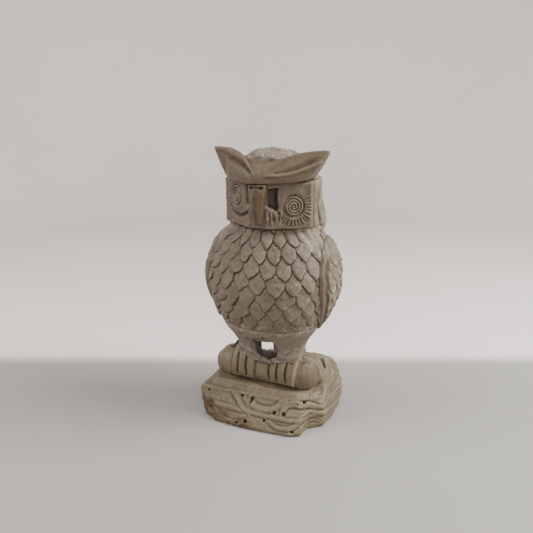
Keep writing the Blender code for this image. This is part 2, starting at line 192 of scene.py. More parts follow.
class Blank:
    """A finely meshed copy of one or more CAD nodes, in millimetres. Several nodes are swollen
    until they meet, so that they come out as one."""

    def __init__(self, nodes, spacing, name=None, swell=SWELL, beads=()):
        """Spacing is the size of the mesh. Beads are added balls: place and radius of each."""
        nodes = [nodes] if isinstance(nodes, str) else nodes
        shape = bmesh.new()
        for node in nodes:
            shape.from_mesh(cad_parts[node].data)
        for place, radius in beads:
            bmesh.ops.create_icosphere(shape, subdivisions=2, radius=radius * MM,
                                       matrix=Matrix.Translation(Vector(place) * MM))
        bmesh.ops.remove_doubles(shape, verts=shape.verts[:], dist=WELD_DISTANCE)
        data = bpy.data.meshes.new("blank")
        shape.to_mesh(data)
        shape.free()
        holder = placed("blank", data)
        if len(nodes) > 1:
            grown = holder.modifiers.new("swell", "DISPLACE")
            grown.mid_level, grown.strength = 0, swell * MM
        remesh = holder.modifiers.new("remesh", "REMESH")
        remesh.mode = "VOXEL"
        remesh.voxel_size = spacing * MM
        found = bpy.context.evaluated_depsgraph_get()
        mesh = bpy.data.meshes.new_from_object(holder.evaluated_get(found))
        bpy.data.objects.remove(holder)
        bpy.data.meshes.remove(data)
        self.nodes, self.mesh, self.name = nodes, mesh, name or nodes[0]
        mesh.name = self.name
        self.p = self.read(mesh.vertices, "co") / MM
        edges = np.empty(len(mesh.edges) * 2, dtype=np.int32)
        mesh.edges.foreach_get("vertices", edges)
        a, b = edges[::2], edges[1::2]
        self.start, self.end = np.concatenate([a, b]), np.concatenate([b, a])
        self.count = np.maximum(np.bincount(self.start, minlength=len(self.p)), 1)

    @staticmethod
    def read(items, field):
        """The vector in a field of every item, one row each."""
        values = np.empty(len(items) * 3, dtype=np.float32)
        items.foreach_get(field, values)
        return values.reshape(-1, 3).astype(np.float64)

    def around(self, values):
        """The mean of each point's neighbours."""
        if values.ndim == 2:
            return np.stack([self.around(v) for v in values.T], axis=1)
        return np.bincount(self.start, values[self.end], len(self.count)) / self.count

    def blurred(self, values, times):
        """Values evened out over the surface, the wider the more times."""
        for _ in range(times):
            values = (values + self.around(values)) / 2
        return values

    def soften(self, times, share=1.0):
        """Rounds the surface off, everywhere or by a share for each point."""
        share = share if np.isscalar(share) else share[:, None]
        self.p = self.p + share * (self.blurred(self.p, times) - self.p)

    def normals(self):
        """The outward direction at each point."""
        self.mesh.vertices.foreach_set("co", (self.p * MM).ravel())
        self.mesh.update()
        return self.read(self.mesh.vertex_normals, "vector")

    def push(self, heights):
        """Moves the surface out by heights."""
        self.p = self.p + self.normals() * np.reshape(heights, (-1, 1))

    def relief(self, times):
        """How far the surface lies under its own surroundings, in millimetres."""
        return ((self.blurred(self.p, times) - self.p) * self.normals()).sum(axis=1)

    def finish(self, slot, material, **marks):
        """Writes the mesh and its marks, and puts it in the frame in its nodes' place. Each mark is
        one value, or one for each point: how dusty, light in tone, rough, green or brown the stone is,
        how much painted shade darkens it, the place across a feather (barbs), and how deep its barbs
        are. In places the tone is painted light and shade too."""
        # how far each point lies in a hollow: the stone paints shade into the hollows and lighter wear
        # onto the raised points
        hollow = sum(share * np.clip(self.relief(times) / depth, -1, 1)
                     for times, depth, share in HOLLOWS)
        dust, tone, *lines, soot, brown = (marks.get(name, 0) for name in MARKS)
        self.write("shade_and_wear", [hollow, -hollow, dust, tone], 0, 1)
        self.write("lines", lines)
        self.write("shade_and_stains", [soot, brown], 0, 1)
        self.mesh.polygons.foreach_set("use_smooth", [True] * len(self.mesh.polygons))
        self.mesh.materials.clear()
        self.mesh.materials.append(material)
        piece = placed("carved_" + self.name, self.mesh)
        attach(piece, "root")
        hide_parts(*self.nodes)
        return piece

    def write(self, name, channels, low=-np.inf, high=np.inf):
        """Writes up to four values for each point, kept from low to high, for the shader to read."""
        values = np.zeros((len(self.p), 4))
        for column, channel in enumerate(channels):
            values[:, column] = np.clip(channel, low, high)
        made = self.mesh.attributes.new(name, "FLOAT_COLOR", "POINT")
        made.data.foreach_set("color", values.ravel())


# ---- stone
def node_of(tree, kind, links=(), **settings):
    """A shader node with its settings, and its inputs from links (input name or number, output)."""
    made = tree.nodes.new(kind)
    for name, value in settings.items():
        setattr(made, name, value)
    for socket, source in links:
        if hasattr(source, "links"):
            tree.links.new(source, made.inputs[socket])
        else:
            made.inputs[socket].default_value = source
    return made


def sums(tree, operation, a, b, clamp=False):
    """Any one step of arithmetic done by the shader."""
    return node_of(tree, "ShaderNodeMath", [(0, a), (1, b)], operation=operation,
                   use_clamp=clamp).outputs[0]


def times(tree, a, b, clamp=False):
    """A product done by the shader."""
    return sums(tree, "MULTIPLY", a, b, clamp)


def plus(tree, a, b, clamp=False):
    """A sum done by the shader."""
    return sums(tree, "ADD", a, b, clamp)


def mixed(tree, share, a, b):
    """Colour a with a share of colour b in it."""
    return node_of(tree, "ShaderNodeMix", [(0, share), (6, a), (7, b)],
                   data_type="RGBA").outputs[2]


def noise(tree, place, scale, detail=4.0, roughness=0.55, distortion=0.0):
    """Noise from 0 to 1, with scale bumps to the metre."""
    return node_of(tree, "ShaderNodeTexNoise",
                   [("Vector", place), ("Scale", scale), ("Detail", detail),
                    ("Roughness", roughness), ("Distortion", distortion)]).outputs[0]


def spread(tree, value, low, high, bottom=0.0, top=1.0):
    """Value stretched so that low to high becomes bottom to top, and cut off there."""
    return node_of(tree, "ShaderNodeMapRange",
                   [("Value", value), ("From Min", low), ("From Max", high),
                    ("To Min", bottom), ("To Max", top)], clamp=True).outputs[0]


def new_material(name):
    """A material, its node tree, its main shader, and place on the object, in metres."""
    made = bpy.data.materials.new(name)
    made.use_nodes = True
    tree = made.node_tree
    place = node_of(tree, "ShaderNodeTexCoord").outputs["Object"]
    return made, tree, tree.nodes["Principled BSDF"], place


def marks_of(tree, name):
    """The four values of a mark that Blank.finish writes."""
    found = node_of(tree, "ShaderNodeAttribute", attribute_name=name)
    split = node_of(tree, "ShaderNodeSeparateColor", [("Color", found.outputs["Color"])])
    return [*split.outputs, found.outputs["Alpha"]]


MOSS = (0.150, 0.133, 0.076, 1)
POWDER = (0.42, 0.39, 0.335, 1)
RUST = (0.085, 0.048, 0.026, 1)
# near-black painted shade, laid into cuts, drilled dots, recesses and under the chin
PAINTED_SHADE_COLOUR = (0.018, 0.014, 0.012, 1)
LIGHT_AND_DARK = 0.34  # how far tone goes towards the pale and the dark colour
BARBS = 9.0  # fine lines along a feather: radians of their wave a millimetre
BUMP_METRES = 0.00022
SPECULAR = 0.32
# bumps to the metre of each noise in the stone
CLOUDS, SPECKS, SHADE_BREAKUP, DRIFT, RUB = 70, 620, 150, 380, 240
SHEEN, WANDER, FINE, COARSE = 210, 500, 1500, 420


def stone_colour(tree, place, marks, body, vein, dark_and_shade, pale, worn):
    """Mottled and specked, lighter or darker where tone is marked, with painted shade in the hollows and
    cuts and wherever it is marked, dusty and stained where marked, worn on the edges.
    """
    def tinted(colour, share, strength, towards):
        return mixed(tree, times(tree, share, strength), colour, towards)

    mottle = spread(tree, noise(tree, place, CLOUDS, 6, 0.6, 0.6), 0.36, 0.66)
    speck = spread(tree, noise(tree, place, SPECKS, 5, 0.7), 0.4, 0.62)
    colour = tinted(mixed(tree, mottle, body, vein), speck, 0.22, pale)
    colour = mixed(tree, marks["tone"], mixed(tree, LIGHT_AND_DARK, colour, dark_and_shade),
                   mixed(tree, LIGHT_AND_DARK, colour, pale))
    colour = tinted(colour, marks["green"], 0.8, MOSS)
    # painted shade in the hollows, broken up by noise
    shade_breakup = spread(tree, noise(tree, place, SHADE_BREAKUP, 3), 0.25, 0.7, 0.72, 1.15)
    colour = tinted(colour, times(tree, marks["hollow"], shade_breakup, True), 0.74, dark_and_shade)
    colour = mixed(tree, marks["powder"], colour, POWDER)
    rub = spread(tree, noise(tree, place, RUB, 4), 0.3, 0.7, 0.25, 1.0)
    colour = tinted(colour, times(tree, marks["edge"], rub, True), 0.6, worn)
    colour = tinted(colour, marks["brown"], 0.75, RUST)
    # painted shade where it is marked
    return tinted(colour, marks["soot"], 0.93, PAINTED_SHADE_COLOUR)


def stone_bump(tree, place, marks, bump):
    """The barbs of the feathers and the tooth of the stone."""
    wander = times(tree, noise(tree, place, WANDER, 3), 3.0)
    barbs = sums(tree, "SINE", plus(tree, times(tree, marks["barbs"], BARBS), wander), 0)
    barbs = times(tree, barbs, marks["barb_depth"])
    fine = times(tree, noise(tree, place, FINE, 6, 0.7), bump)
    coarse = times(tree, noise(tree, place, COARSE, 4, 0.6),
                   plus(tree, times(tree, marks["rough"], 2.2), bump))
    high = plus(tree, plus(tree, fine, coarse), times(tree, barbs, 0.35))
    return node_of(tree, "ShaderNodeBump",
                   [("Height", high), ("Distance", BUMP_METRES), ("Strength", 1.0)]).outputs[0]


def soapstone(name, body, vein, dark_and_shade, pale, worn, gloss, bump):
    """Carved soapstone in the given colours. Gloss is its least and greatest roughness, bump how
    strong its tooth is."""
    made, tree, shader, place = new_material(name)
    marks = dict(zip(("hollow", "edge", "dust", "tone"), marks_of(tree, "shade_and_wear")))
    marks.update(zip(("barbs", "barb_depth", "rough", "green"), marks_of(tree, "lines")))
    marks.update(zip(("soot", "brown"), marks_of(tree, "shade_and_stains")))
    drift = spread(tree, noise(tree, place, DRIFT, 5, 0.75), 0.36, 0.6)
    marks["powder"] = times(tree, marks["dust"], drift, True)

    colour = stone_colour(tree, place, marks, body, vein, dark_and_shade, pale, worn)
    tree.links.new(colour, shader.inputs["Base Color"])
    dull = spread(tree, noise(tree, place, SHEEN, 5, 0.65), 0.3, 0.7, *gloss)
    dull = plus(tree, dull, times(tree, marks["powder"], 0.3))
    dull = plus(tree, dull, times(tree, marks["hollow"], 0.15), True)
    tree.links.new(dull, shader.inputs["Roughness"])
    tree.links.new(stone_bump(tree, place, marks, bump), shader.inputs["Normal"])
    shader.inputs["Specular IOR Level"].default_value = SPECULAR
    return made


# the third colour of each stone is the dark end of its tone and the painted shade in its hollows
CARVED = soapstone("carved_stone", (0.150, 0.108, 0.074, 1), (0.118, 0.084, 0.059, 1),
                   (0.028, 0.018, 0.012, 1), (0.29, 0.245, 0.19, 1), (0.27, 0.222, 0.165, 1),
                   (0.50, 0.68), 0.5)
POLISHED = soapstone("polished_stone", (0.106, 0.071, 0.043, 1), (0.078, 0.051, 0.031, 1),
                     (0.018, 0.011, 0.007, 1), (0.22, 0.168, 0.115, 1), (0.21, 0.162, 0.108, 1),
                     (0.44, 0.62), 0.16)
BASE = soapstone("base_stone", (0.152, 0.112, 0.065, 1), (0.110, 0.077, 0.047, 1),
                 (0.024, 0.016, 0.011, 1), (0.27, 0.225, 0.145, 1), (0.28, 0.235, 0.155, 1),
                 (0.38, 0.56), 0.3)
ROUGH = soapstone("rough_stone", (0.185, 0.146, 0.105, 1), (0.140, 0.106, 0.077, 1),
                  (0.034, 0.023, 0.016, 1), (0.32, 0.285, 0.23, 1), (0.31, 0.265, 0.21, 1),
                  (0.62, 0.84), 0.9)


# ---- feathers
def shingles(u, v, pitch, row, seed=0, step=FEATHER_STEP, point=0.86, shoulder=0.78):
    """Overlapping pointed feathers. u counts feathers across and v rows downward; each row is
    offset by half a feather. A feather is full width from its shoulder up, in rows above its tip.
    Returns height, the place across the feather, and its tone."""
    line = np.ceil(v)
    d = line - v

    def across(rank):
        offset = 0.5 * (rank % 2)
        column = np.round(u - offset)
        return u - offset - column, column

    front, column_front = across(line)
    behind, column_behind = across(line + 1)
    reach = np.clip(d / shoulder, 1e-4, 1)
    half = 0.5 * np.sin(math.pi / 2 * reach) ** point
    slope = (point / 2 * math.pi / 2 / shoulder * np.cos(math.pi / 2 * reach)
             / np.maximum(reach, 0.12) ** (1 - point))
    edge = (np.abs(front) - half) * pitch / np.sqrt(1 + (slope * pitch / row) ** 2)
    top = edge < 0
    place = np.where(top, front, behind)
    rank = np.where(top, line, line + 1)
    column = np.where(top, column_front, column_behind)
    own = np.stack([rank, column], axis=1)
    down = np.where(top, d, d + 1)
    height = step * (1 - down / 2) * (1 + 0.2 * scatter(own, seed))
    height -= 1.15 * step * place ** 2 * (1 + 0.3 * scatter(own, seed + 1))
    height += 0.4 * step * place * scatter(own, seed + 2)
    height -= step * np.where(top, 0.2 * bell(edge, 0.07 * pitch), 0.3 * bell(edge, 0.05 * pitch))
    return height, place * pitch, 0.5 + 0.5 * scatter(own, seed + 3)


def body_angle(p):
    """Angle round the body from the middle of the breast, towards the bird's left."""
    return np.arctan2(p[:, 0] - OWL_X, (BODY_MIDDLE_Y - p[:, 1]) / BODY_DEPTH)


def body_feathers(p):
    """The scale pattern that runs all round the body."""
    sway = 0.17 * grain(p, 9.0, 31) + 0.09 * grain(p, 3.2, 32) + 0.05 * grain(p, 1.4, 35)
    u = body_angle(p) / math.tau * FEATHERS_ROUND + sway + 0.12
    heights = np.array(TIP_HEIGHTS)[::-1]
    v = np.interp(p[:, 2], heights, np.arange(len(heights))[::-1].astype(float))
    v = v + 0.14 * grain(p, 8.0, 33) + 0.1 * grain(p, 3.0, 34) + 0.06 * grain(p, 1.3, 36)
    height, across, tone = shingles(u, v, FEATHER_WIDE, FEATHER_LONG, 40)
    return height + 0.16 * grain(p, 2.0, 41), across, tone


def outer(p, n):
    """1 on the outside of the body, 0 on the faces inside it."""
    angle = body_angle(p)
    away = n[:, 0] * np.sin(angle) - n[:, 1] * np.cos(angle)
    return fade(away, 0.25, 0.6)


def strands(p, pitch, seed=0):
    """Hair-like strands that run down the side of the neck: height from -1 to 1."""
    wave = body_angle(p) * 19.0 / pitch + 0.55 * grain(p * (1, 1, 0.35), 3.2, seed)
    return np.cos(wave * math.tau / 2) * (0.75 + 0.25 * grain(p, 2.5, seed + 1))


def make_breast():
    """The breast and the neck over it, in overlapping feathers that start under the chin. The
    lowest row is chipped to a ragged edge."""
    blank = Blank(["breast", "neck_collar"], 0.27, "breast")
    blank.soften(8)
    blank.soften(160, bell(blank.p[:, 2] - BREAST_TOP, 3.6))
    p, n = blank.p, blank.normals()
    z = p[:, 2]
    height, across, tone = body_feathers(p)
    on = outer(p, n)
    angle = body_angle(p)
    ragged = BREAST_BOTTOM + 1.8 + 1.5 * grain(p, 2.4, 51)
    chipped = fade(z, ragged + 1.0, ragged - 0.3)
    nape = fade(z, BREAST_TOP - 6.5, BREAST_TOP - 3.0) * fade(np.abs(angle), 0.8, 1.1)
    chin = fade(z, CHIN - 1.5, CHIN - 0.2) * (1 - nape)
    height = height * (1 - 0.8 * chipped) - FEATHER_SINK
    height = height * (1 - nape) + nape * (0.35 * strands(p, STRAND_PITCH, 55) + 0.25)
    lumps = 0.26 * grains(p, 2.4, 52) + 0.1 * grain(p, 0.9, 56)
    blank.push(on * (height + lumps - 0.5 * chin) + 0.15)

    low = fade(z, BREAST_BOTTOM + 4.6, BREAST_BOTTOM + 0.8)
    left, right = fade(angle, 0.35, 1.2), fade(angle, -0.3, -1.0)
    chips = chipped * fade(z, BREAST_BOTTOM + 0.2, BREAST_BOTTOM + 1.0)
    chips *= patches(p, 1.5, 57, -0.1, 0.4)
    specks = patches(p * (0.5, 0.5, 1.2), 0.7, 58, 0.45, 0.8)
    specks *= patches(p, 6.0, 59, -0.2, 0.4)
    return blank.finish(
        "carved_stone", CARVED,
        barbs=across, barb_depth=on * 0.6 * (1 - nape), rough=0.25 + 0.5 * low,
        # tone is painted light on the bird's left and painted shade on its right; the left also carries
        # real dust specks and green
        tone=0.5 + 0.35 * (tone - 0.5) + 0.14 * left - 0.08 * right + 0.1 * grain(p, 3.5, 60),
        dust=0.4 * low * patches(p, 2.0, 53, -0.2, 0.6) + 0.12 * left + 0.25 * nape
             + 1.2 * chips + 0.6 * specks * (0.4 + left),
        green=0.3 * left * patches(p, 6.0, 54, -0.2, 0.6) + 0.5 * nape,
        # painted shadow under the chin
        soot=0.6 * chin * on)


def make_back(node):
    """The back, in the same feathers, with the nape over them."""
    blank = Blank(node, 0.32)
    blank.soften(5)
    p, n = blank.p, blank.normals()
    height, across, tone = body_feathers(p)
    on = outer(p, n)
    nape = fade(p[:, 2], BREAST_TOP - 5.5, BREAST_TOP - 2.0)
    height = (height - FEATHER_SINK) * (1 - nape) + nape * (0.35 * strands(p, STRAND_PITCH, 55) + 0.1)
    blank.push(on * height + 0.15)
    return blank.finish(
        "rough_stone", ROUGH,
        barbs=across, barb_depth=on * 0.5 * (1 - nape), rough=0.35,
        tone=0.5 + 0.35 * (tone - 0.5), dust=0.25 * patches(p, 5.0, 61, 0, 0.8),
        green=0.3 * patches(p, 9.0, 62, 0, 0.7))


def make_legs():
    """The smooth thighs and the legs. In front the legs run down and back onto the toes, and a
    thin lip joins them under the hole, whose walls slant."""
    blank = Blank(["left_thigh", "right_thigh", "left_leg", "right_leg"], 0.32, "legs")
    blank.soften(10)
    p = blank.p
    x, y, z = p.T
    bottom, top = box("left_leg")[0][2], box("left_thigh")[1][2]
    hole_right, hole_left = box("right_leg")[1][0], box("left_leg")[0][0]
    hole, half = (hole_right + hole_left) / 2, (hole_left - hole_right) / 2
    foot = fade(z, bottom + 4.0, bottom + 0.6) * fade(y, -2.0, -7.0)
    beside = x - hole
    lip = fade(y, -9.5, -12.0) * fade(z, bottom + 2.4, bottom + 0.8)
    lip *= fade(np.abs(beside), half + 5.5, half + 0.3)
    slant = np.clip(0.2 * (y + 12.5), 0, 2.8) * fade(np.abs(beside), half + 6.0, half + 0.3)
    x -= np.sign(beside) * lip * (half + 0.8) + slant * fade(z, top - 4.6, top - 5.6)
    y += 3.6 * foot
    z -= 5.4 * foot

    facets = 0.3 * grains(p * (1, 1, 0.35), 4.0, 71) + 0.12 * grain(p, 1.3, 72)
    notch = stroke(p, [(3.0, -19.2, top + 1), (2.6, -18.2, top - 3.4)], 0.4)
    rim = bell(np.hypot(beside, z - bottom - 4.6) - half - 0.7, 0.7) * fade(y, -8, -11)
    blank.push(0.1 + facets - 0.7 * notch - 0.3 * rim)
    under = fade(z, top - 2.6, top - 0.3)
    low = fade(z, 38.5, 34.0)
    return blank.finish(
        "carved_stone", CARVED,
        dust=0.2 + 0.5 * under * patches(p, 1.6, 73, -0.1, 0.5)
             + 0.4 * low * patches(p, 2.4, 74, -0.2, 0.7) + 0.4 * foot,
        rough=0.6, tone=0.5 + 0.12 * grain(p, 6.0, 75),
        # the rim of the hole between the legs is darkened with painted shade
        brown=0.8 * notch, soot=0.4 * rim)


# ---- wings and tail
SCALE_WIDE, SCALE_LONG = 4.8, 4.9
FLIGHT_WIDE, FLIGHT_LONG = 4.4, 13.0
TAIL_WIDE, TAIL_LONG = 3.3, 15.0
# the front and rear edges of a wing, from the side: y and z
WING_FRONT = [(-1.5, 83.6), (-7.2, 79.0), (-11.0, 72.0), (-11.7, 64.0), (-9.6, 56.0),
              (-6.2, 49.6), (-1.5, 44.4)]
WING_BACK = [(5.0, 84.6), (12.0, 80.8), (17.3, 73.0), (18.5, 64.0), (16.6, 55.0), (11.0, 47.0),
             (4.0, 43.2)]


def make_wing(node, side):
    """A smooth front border, a deep groove behind it, small scales, then long flight feathers."""
    blank = Blank(node, 0.28)
    blank.soften(6)
    p, n = blank.p, blank.normals()
    y, z = p[:, 1], p[:, 2]
    on = fade(side * n[:, 0], 0.15, 0.5)
    front, _ = off_line(p[:, 1:], WING_FRONT)
    rear, _ = off_line(p[:, 1:], WING_BACK)
    high = fade(z, 79.0, 75.0)
    wobble = 0.25 * grain(p, 5.0, 81)
    border = fade(front + wobble, 0.7, 0.3) * high
    groove = bell(front - 1.5 + wobble, 1.0) * high
    sway = 0.15 * grain(p, 5.0, 82) + 0.06 * grain(p, 2.0, 87)
    scale, across, tone = shingles(y / SCALE_WIDE + sway, -z / SCALE_LONG + sway,
                                   SCALE_WIDE, SCALE_LONG, 83, 0.9)
    long, long_across, long_tone = shingles((y + 0.22 * z) / FLIGHT_WIDE + sway, -z / FLIGHT_LONG + sway,
                                            FLIGHT_WIDE, FLIGHT_LONG, 84, 1.0, 0.6)
    flight = fade(rear - 0.28 * (76.0 - z), 1.5, 0.5)
    nape = fade(z, 76.5, 80.0) * (1 - flight)
    carved = scale * (1 - flight) + long * flight - 0.45
    carved = carved * (1 - nape) + nape * 0.3 * strands(p, STRAND_PITCH, 55)
    lumps = 0.3 * grains(p, 2.0, 88)
    feathered = (1 - border) * (1 - groove) * (carved + lumps)
    blank.push(0.12 + on * (0.1 * border - 0.6 * groove + feathered))

    field = (1 - border) * (1 - fade(groove, 0.15, 0.6))
    commas = (1 - flight) * fade(scale, 0.62, 0.85) * patches(p, 2.8, 89, -0.1, 0.3)
    return blank.finish(
        "rough_stone", ROUGH,
        barbs=across * (1 - flight) + long_across * flight,
        barb_depth=on * 0.5 * field * (1 - nape), rough=0.3 + 0.4 * field,
        tone=0.06 + 0.16 * field * (tone * (1 - flight) + long_tone * flight),
        dust=field * (0.08 + 0.25 * patches(p, 1.6, 85, 0.0, 0.7) + 0.8 * commas),
        green=0.8 * patches(p, 7.0, 86, -0.6, 0.3), brown=1.3 * fade(groove, 0.1, 0.7))


def make_tail(node):
    """Long straight feathers laid side by side."""
    blank = Blank(node, 0.34)
    blank.soften(5)
    p, n = blank.p, blank.normals()
    on = fade(n[:, 1], -0.1, 0.5)
    centre = middle(node)[0]
    height, across, tone = shingles((p[:, 0] - centre) / TAIL_WIDE, -p[:, 2] / TAIL_LONG,
                                    TAIL_WIDE, TAIL_LONG, 91, 0.9, 0.5)
    blank.push(0.15 + on * (height - 0.4))
    return blank.finish(
        "rough_stone", ROUGH,
        barbs=across, barb_depth=on * 0.6, rough=0.4,
        tone=0.42 + 0.25 * (tone - 0.5), dust=0.2 * patches(p, 5.0, 92, 0, 0.8))


# ---- head
RING_PITCH = 1.14
NOSE_HALF = 2.0  # the sides of the face start this far from the middle
EYE_FIELD = 3.8  # the spiral fills the eye out to here
EYE_RING = EYE_FIELD + 0.45  # radius of the ring cut round it
EYE_DISC = 5.9  # out to here the eye is levelled with the face
SPIRAL_DEPTH = {1: 0.3, -1: 0.42}  # for the left and the right eye
BEAK_STRETCH = 1.1  # the carved beak reaches lower than its CAD node
# a cut under the right eye: x and z
SCOOP = [(-15.0, 94.9), (-12.0, 93.7), (-8.6, 94.2), (-6.0, 95.6), (-4.8, 96.8)]


def face_place(p, side, eye):
    """Place on one side of the face, millimetres outward from the eye and up from it."""
    return side * (p[:, 0] - eye[0]) / math.cos(FACE_ANGLE), p[:, 2] - eye[2]


def fringe(r, angle, inner, outer_r, ticks, seed):
    """Short raised strokes that stand out from the eye like lashes, no two alike."""
    place = angle * ticks / math.tau + 0.12 * grain(np.stack([angle * 3, r], axis=1), 1.0, seed)
    own = scatter(np.round(place)[:, None], seed)
    end = outer_r + 0.35 * own
    band = fade(r, inner - 0.3, inner + 0.3) * fade(r, end + 0.4, end - 0.4)
    return band * (np.cos(place * math.tau) * 0.5 + 0.5) * (0.8 + 0.3 * own)


def carve_eye(p, side, eye, on, outward):
    """The spiral of an eye and the ring round it, on a disc levelled with the face about it: how
    far each point moves outward, and how much painted shade darkens the cuts."""
    a, b = face_place(p, side, eye)
    r, angle = np.hypot(a, b), np.arctan2(b, a)
    disc = (side * (p[:, 0] - HEAD_X) > NOSE_HALF) * fade(r, EYE_DISC, EYE_DISC - 0.7)
    disc = disc * fade(p @ outward, 8.0, 9.0)
    around = (on > 0.9) & (r > EYE_DISC + 0.1) & (r < EYE_DISC + 1.3)
    plane = np.stack([a, b, np.ones(len(p))], axis=1)
    level = plane @ np.linalg.lstsq(plane[around], p[around] @ outward, rcond=None)[0]
    wave = np.cos((r / RING_PITCH - angle / math.tau) * math.tau)
    field = fade(r, EYE_FIELD + 0.3, EYE_FIELD - 0.1)
    ring = bell(r - EYE_RING, 0.38)
    spiral = SPIRAL_DEPTH[side] * np.where(wave > 0, wave, 1.3 * wave) * field
    lift = level - p @ outward + 0.35 * fade(r, EYE_FIELD + 0.2, 0) + spiral
    return disc * (lift - 0.55 * ring), disc * 0.4 * np.maximum(fade(-wave, 0.2, 0.9) * field, ring)


def carve_left_face(p, a, b, ragged):
    """Lashes round the eye, lumps under it, and the recess beside the beak: height, and the painted shade
    that darkens the recess.
    """
    z = p[:, 2]
    r, angle = np.hypot(a, b), np.arctan2(b, a)
    sweep = fade(angle, 0.85, 0.5) * fade(angle, -2.5, -2.2)
    lashes = 0.62 * fringe(r, angle, 5.1, 7.7, 30, 108)
    height = sweep * (lashes - 0.25 * fade(r, 4.9, 5.7) * fade(r, 8.5, 7.8))
    lumps = fade(a, -3.8, -5.0) * fade(b, -1.4, -2.6) * fade(z, CHIN + 0.8, CHIN + 1.8)
    folds = np.cos((a + 0.9 * grain(p, 2.4, 109)) * math.tau / 1.9) * fade(b, -8.5, -5.0)
    height += lumps * (0.26 * folds + 0.3 * grain(p, 1.4, 110))
    recess = fade(a + ragged, -6.2, -7.6) * fade(b + 0.35 * (a + 8) + ragged, -1.9, -0.4)
    recess *= fade(z + ragged, BROW - 1.6, BROW - 3.0)
    return height - 2.4 * recess, 0.72 * fade(recess, 0.2, 0.8)


def carve_right_face(p, a, b, ragged):
    """Lashes on the outer side of the eye, a scoop under it and a shallow recess: height, and the painted
    shade that darkens the scoop and the recess.
    """
    r, angle = np.hypot(a, b), np.arctan2(b, a)
    lashes = 0.5 * fringe(r, angle, 4.9, 6.6, 26, 113)
    outer_side = fade(np.cos(angle), -0.1, 0.5) + fade(np.sin(angle), -0.4, -0.8)
    height = np.clip(outer_side, 0, 1) * (lashes - 0.2 * fade(r, 5.0, 5.6) * fade(r, 7.6, 7.0))
    scoop = stroke(p[:, [0, 2]], SCOOP, 0.8, 0.6)
    recess = fade(a + ragged, -6.8, -8.0) * fade(b + ragged, -3.4, -2.0)
    recess *= fade(p[:, 2], BROW - 0.4, BROW - 1.2)
    return height - 1.2 * scoop - 0.9 * recess, np.maximum(0.4 * recess, 0.45 * scoop)


def make_head():
    """The head block: two faces with a spiral eye each, and strands down its sides."""
    blank = Blank(["head", "left_eye", "right_eye"], 0.22, "head")
    blank.soften(9)
    p, n = blank.p, blank.normals()
    x, y, z = p.T
    height = 0.22 * grains(p, 4.5, 101) + 0.07 * grain(p, 1.2, 106)
    ragged = 0.35 * grain(p, 1.8, 107)
    soot = np.zeros(len(p))
    shift = np.zeros_like(p)
    for name, side in SIDES.items():
        eye = middle(name + "_eye")
        a, b = face_place(p, side, eye)
        outward = np.array((side * math.sin(FACE_ANGLE), -math.cos(FACE_ANGLE), 0))
        on = fade(n @ outward, 0.75, 0.95) * (side * (x - HEAD_X) > NOSE_HALF)
        lift, dark = carve_eye(p, side, eye, on, outward)
        shift += lift[:, None] * outward
        carve_face = carve_left_face if name == "left" else carve_right_face
        carved, shaded = carve_face(p, a, b, ragged)
        height += on * (0.25 * fade(b, 3.0, 6.0) * fade(a, -5.5, -3.0) + carved)
        # painted shade in the eye's cuts, the recesses beside the beak and the scoop under the eye
        soot = np.maximum(soot, np.maximum(dark, on * shaded))
    temple = fade(np.abs(x - HEAD_X), 15.5, 17.0) * fade(np.abs(n[:, 0]), 0.5, 0.8)
    strap = temple * fade(y, -4.6, -3.9) * fade(y, 0.4, -0.4)
    slit = temple * bell(y + 0.4 + 0.16 * (z - 96), 0.55) * fade(z, 101.5, 100) * fade(z, 90.6, 92)
    hair = fade(y, 0.0, 1.6) * fade(np.abs(n[:, 2]), 0.8, 0.5)
    flare = fade(z, CHIN + 12.0, CHIN) * hair
    height += 0.45 * strap - 0.7 * slit + 1.1 * flare
    height += hair * (0.34 * strands(p, STRAND_PITCH, 103) + 0.15)
    blank.p = p + shift
    blank.push(0.12 + height)

    side_dust = temple * fade(y, -5.0, -2.0)
    return blank.finish(
        "carved_stone", CARVED,
        dust=0.12 * patches(p, 3.0, 102, 0, 0.7)
             + 0.35 * side_dust * patches(p, 2.6, 104, -0.4, 0.5),
        rough=0.35 + 0.3 * hair, tone=0.12 + 0.06 * side_dust + 0.1 * grain(p, 3.0, 114),
        soot=0.92 * soot, brown=0.8 * slit,
        green=0.75 * side_dust + 0.4 * hair * patches(p, 6.0, 105, -0.4, 0.4))


def make_beak(node):
    """A narrow bar with a ridge down one side, a wider top, and two drilled dots."""
    blank = Blank(node, 0.2)
    blank.soften(7)
    p, n = blank.p, blank.normals()
    on = fade(-n[:, 1], -0.2, 0.4)
    centre, top = middle(node)[0], box(node)[1][2]
    p[:, 2] = top - (top - p[:, 2]) * BEAK_STRETCH
    x, z = p[:, 0] - centre, p[:, 2]
    front = np.stack([x, z - top], axis=1)
    ridge = 0.3 * bell(x + 0.9 + 0.05 * (z - 98), 0.55) * fade(z, top - 2.5, top - 4.5)
    dots = sum(bell(np.linalg.norm(front - (at, -1.1), axis=1), 0.55) for at in (-2.3, 2.3))
    bar = stroke(front, [(-2.2, -1.0), (2.2, -0.8)], 0.4)
    narrow = fade(z, top - 2.4, top - 5.0) * fade(np.abs(x), 0.9, 2.0)
    carved = on * (ridge - 0.9 * dots - 0.5 * bar)
    blank.push(0.1 + carved - 0.2 * narrow + 0.12 * grains(p, 2.4, 121))
    return blank.finish(
        "polished_stone", POLISHED,
        tone=0.08 + 0.22 * bell(x + 0.9, 0.7), rough=0.05,
        # the drilled dots and the bar are darkened with painted shade
        brown=0.12 + 0.25 * fade(x, 0.2, 1.4), soot=0.8 * np.clip(dots + 0.6 * bar, 0, 1))


